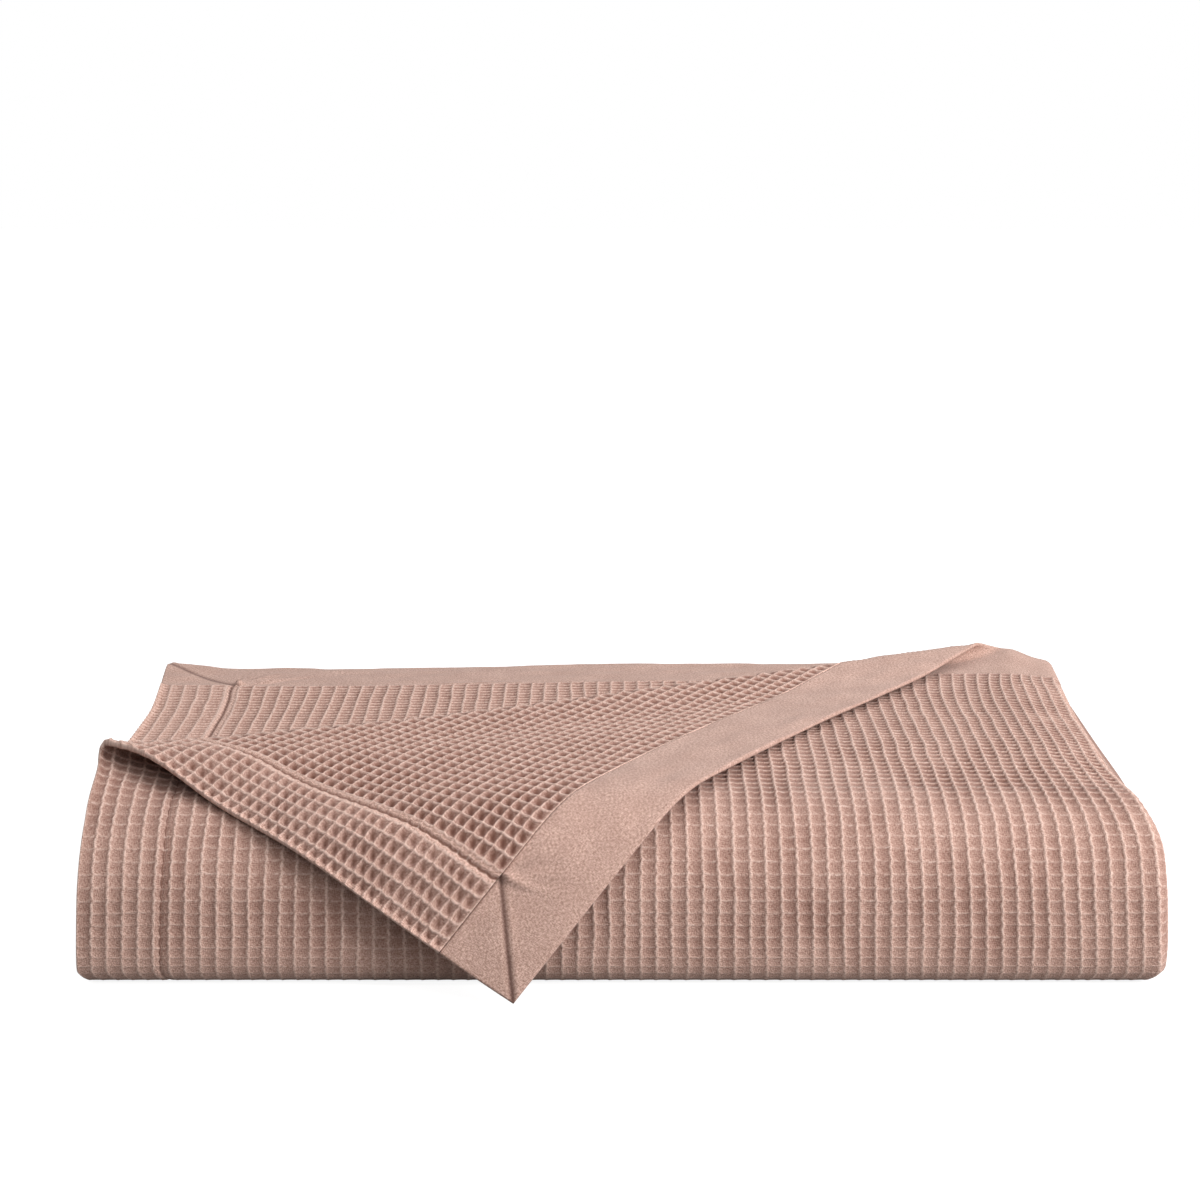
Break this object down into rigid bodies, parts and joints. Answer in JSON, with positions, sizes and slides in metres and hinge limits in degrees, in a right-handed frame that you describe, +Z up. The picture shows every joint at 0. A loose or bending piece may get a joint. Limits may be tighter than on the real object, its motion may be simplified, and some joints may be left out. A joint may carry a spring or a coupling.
{
  "type": "waffle weave cotton blanket",
  "caption": "Waffle weave cotton blanket folded to a soft flat-topped stack with rounded front rolls, its top corner turned back over the front so the plain-weave end band shows.",
  "frame": {"origin": "centre of the folded blanket's footprint, on its flat underside", "axes": "+X along the long side towards the folded rolls, +Y from the rounded front to the back, +Z up"},
  "size_m": [0.5782, 0.416, 0.1121],
  "materials": {
    "waffle_cloth": "matte dusty rose waffle weave cotton",
    "end_band_top": "matte dusty rose plain-weave cotton",
    "end_band_inner": "matte dusty rose plain-weave cotton"
  },
  "bodies": {
    "root": {"waffle_cloth": "waffle_cloth", "end_band_top": "end_band_top", "end_band_inner": "end_band_inner"}
  },
  "joints": []
}
